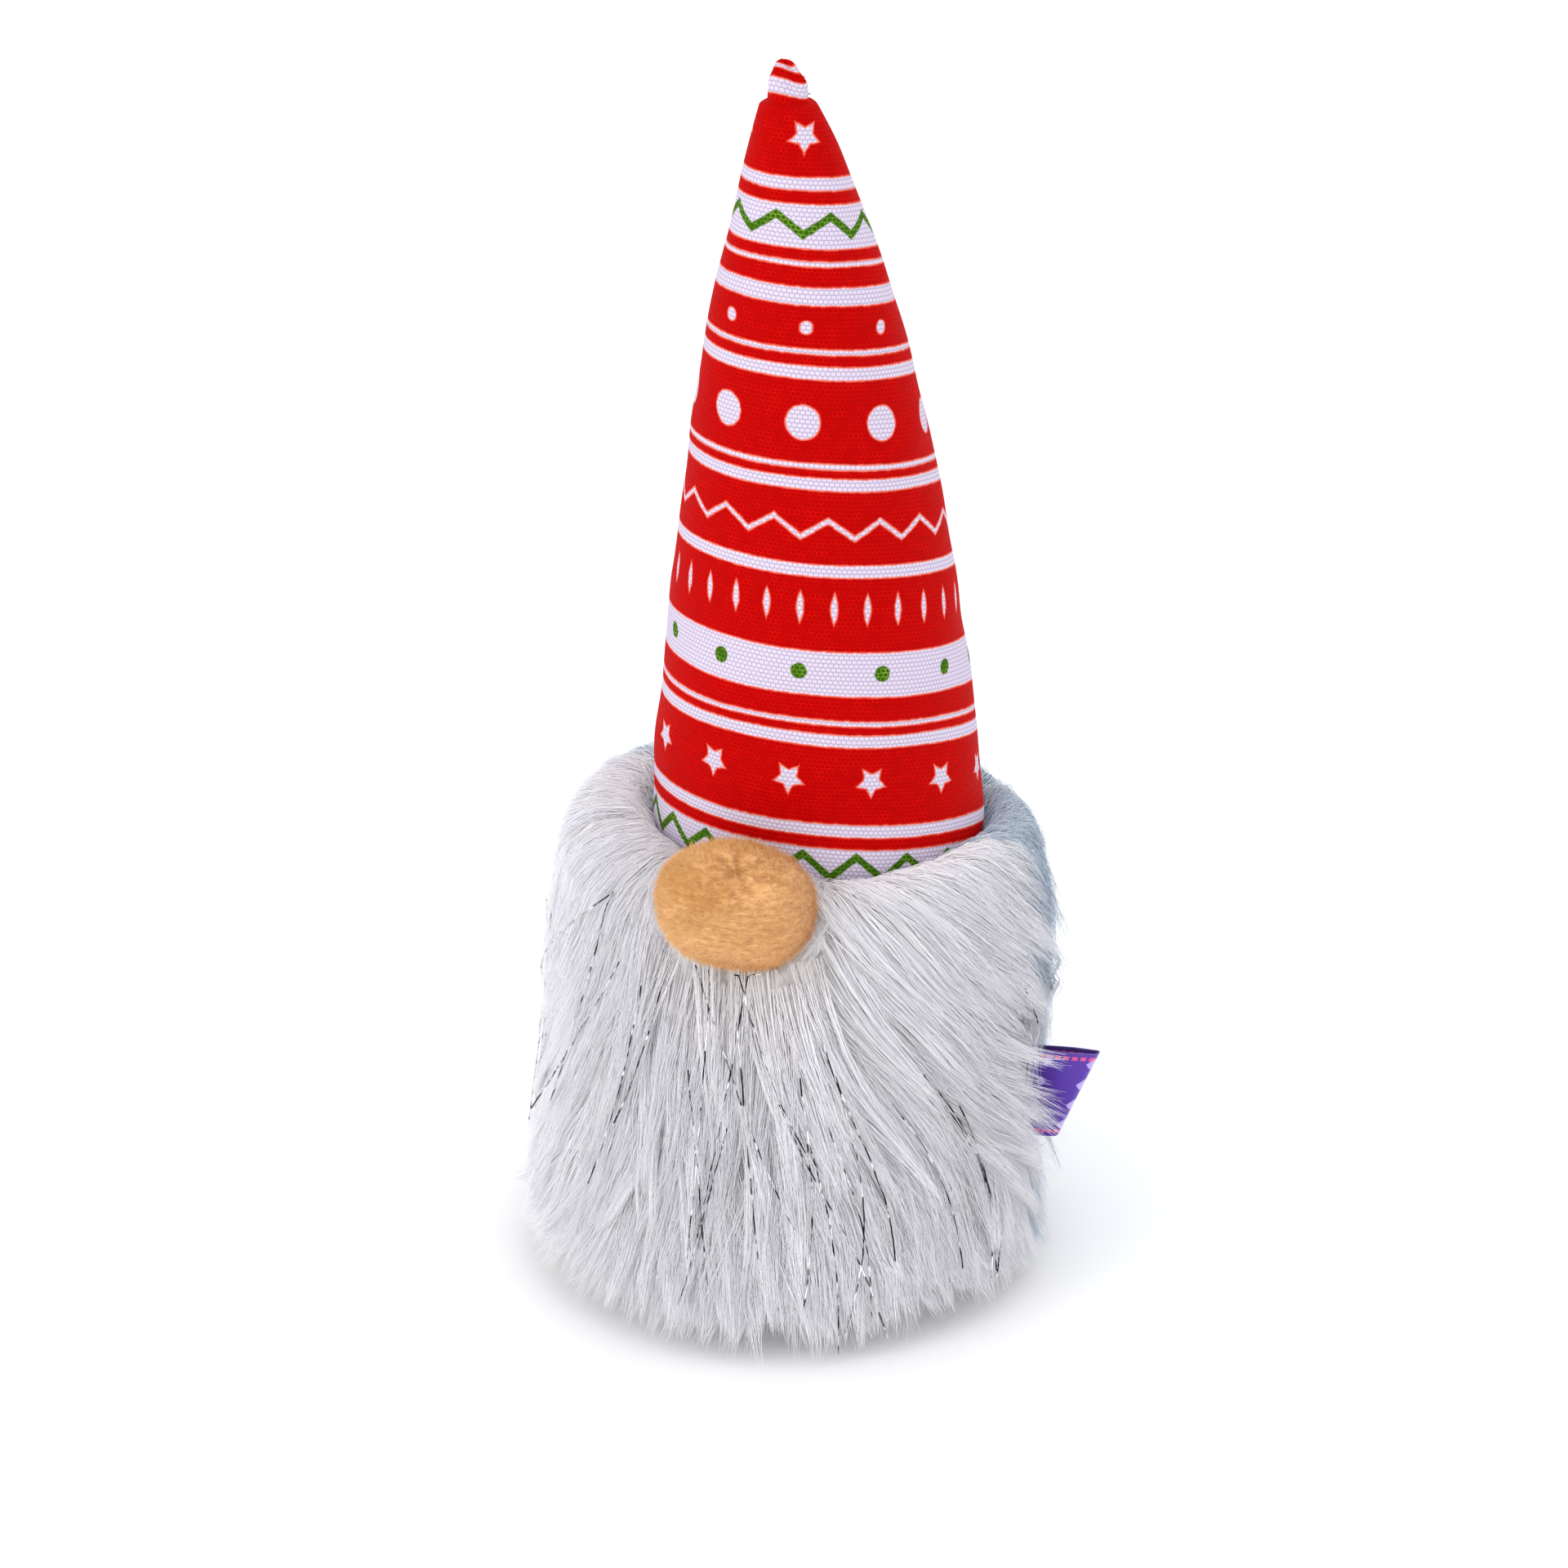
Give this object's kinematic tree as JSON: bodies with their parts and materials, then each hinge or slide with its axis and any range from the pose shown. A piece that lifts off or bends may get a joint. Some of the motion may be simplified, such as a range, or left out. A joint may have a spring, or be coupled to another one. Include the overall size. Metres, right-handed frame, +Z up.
{
  "type": "tomte gnome figurine",
  "caption": "Plush gnome with a tall stuffed cone hat in a printed folk pattern, a round tan nose, long white faux fur and a woven loop label at its side.",
  "frame": {"origin": "centre of the sack's base, on the surface the figure stands on", "axes": "+Z up through the hat, -Y the way the gnome faces, +X towards the side with the label"},
  "size_m": [0.1422, 0.1358, 0.2999],
  "materials": {
    "printed_canvas": "matte",
    "polyester_fibre": "matte",
    "sewing_thread": "matte",
    "tan_plush": "matte",
    "knit_backing": "matte",
    "fur_pile": "matte",
    "silver_tinsel": "polished",
    "pouch_cloth": "matte",
    "pellets": "satin",
    "base_cloth": "matte",
    "greyboard": "matte",
    "satin_ribbon": "satin"
  },
  "bodies": {
    "gnome_body": {"front_fur_backing": "knit_backing", "front_fur_pile": "fur_pile", "back_fur_backing": "knit_backing", "back_fur_pile": "fur_pile", "tinsel_strands": "silver_tinsel", "side_seam_thread_left": "sewing_thread", "side_seam_thread_right": "sewing_thread", "body_stuffing": "polyester_fibre", "pellet_pouch": "pouch_cloth", "weight_pellets": "pellets", "base_panel": "base_cloth", "base_card": "greyboard", "base_seam_thread": "sewing_thread", "label_stitches": "sewing_thread"},
    "hat": {"hat_panel": "printed_canvas", "hat_stuffing": "polyester_fibre", "hat_back_seam_thread": "sewing_thread", "hat_tip_thread": "sewing_thread", "hat_attach_thread": "sewing_thread"},
    "nose": {"nose_cover": "tan_plush", "nose_stuffing": "polyester_fibre", "nose_gather_thread": "sewing_thread"},
    "label": {"label_ribbon": "satin_ribbon"}
  },
  "joints": [
    {"name": "hat_lean", "type": "hinge", "parent": "gnome_body", "child": "hat", "pos_m": [0, 0, 0.104], "axis": [0, 1, 0], "range_deg": [-8, 8], "stiffness_Nm_per_rad": 0.5},
    {"name": "nose_wobble", "type": "hinge", "parent": "gnome_body", "child": "nose", "pos_m": [0.002, -0.0418, 0.1148], "axis": [-1, 0, 0], "range_deg": [-8, 15], "stiffness_Nm_per_rad": 0.05},
    {"name": "label_flap", "type": "hinge", "parent": "gnome_body", "child": "label", "pos_m": [0.0432, 0.004, 0.048], "axis": [0, 0, 1], "range_deg": [-20, 20], "stiffness_Nm_per_rad": 0.004}
  ]
}
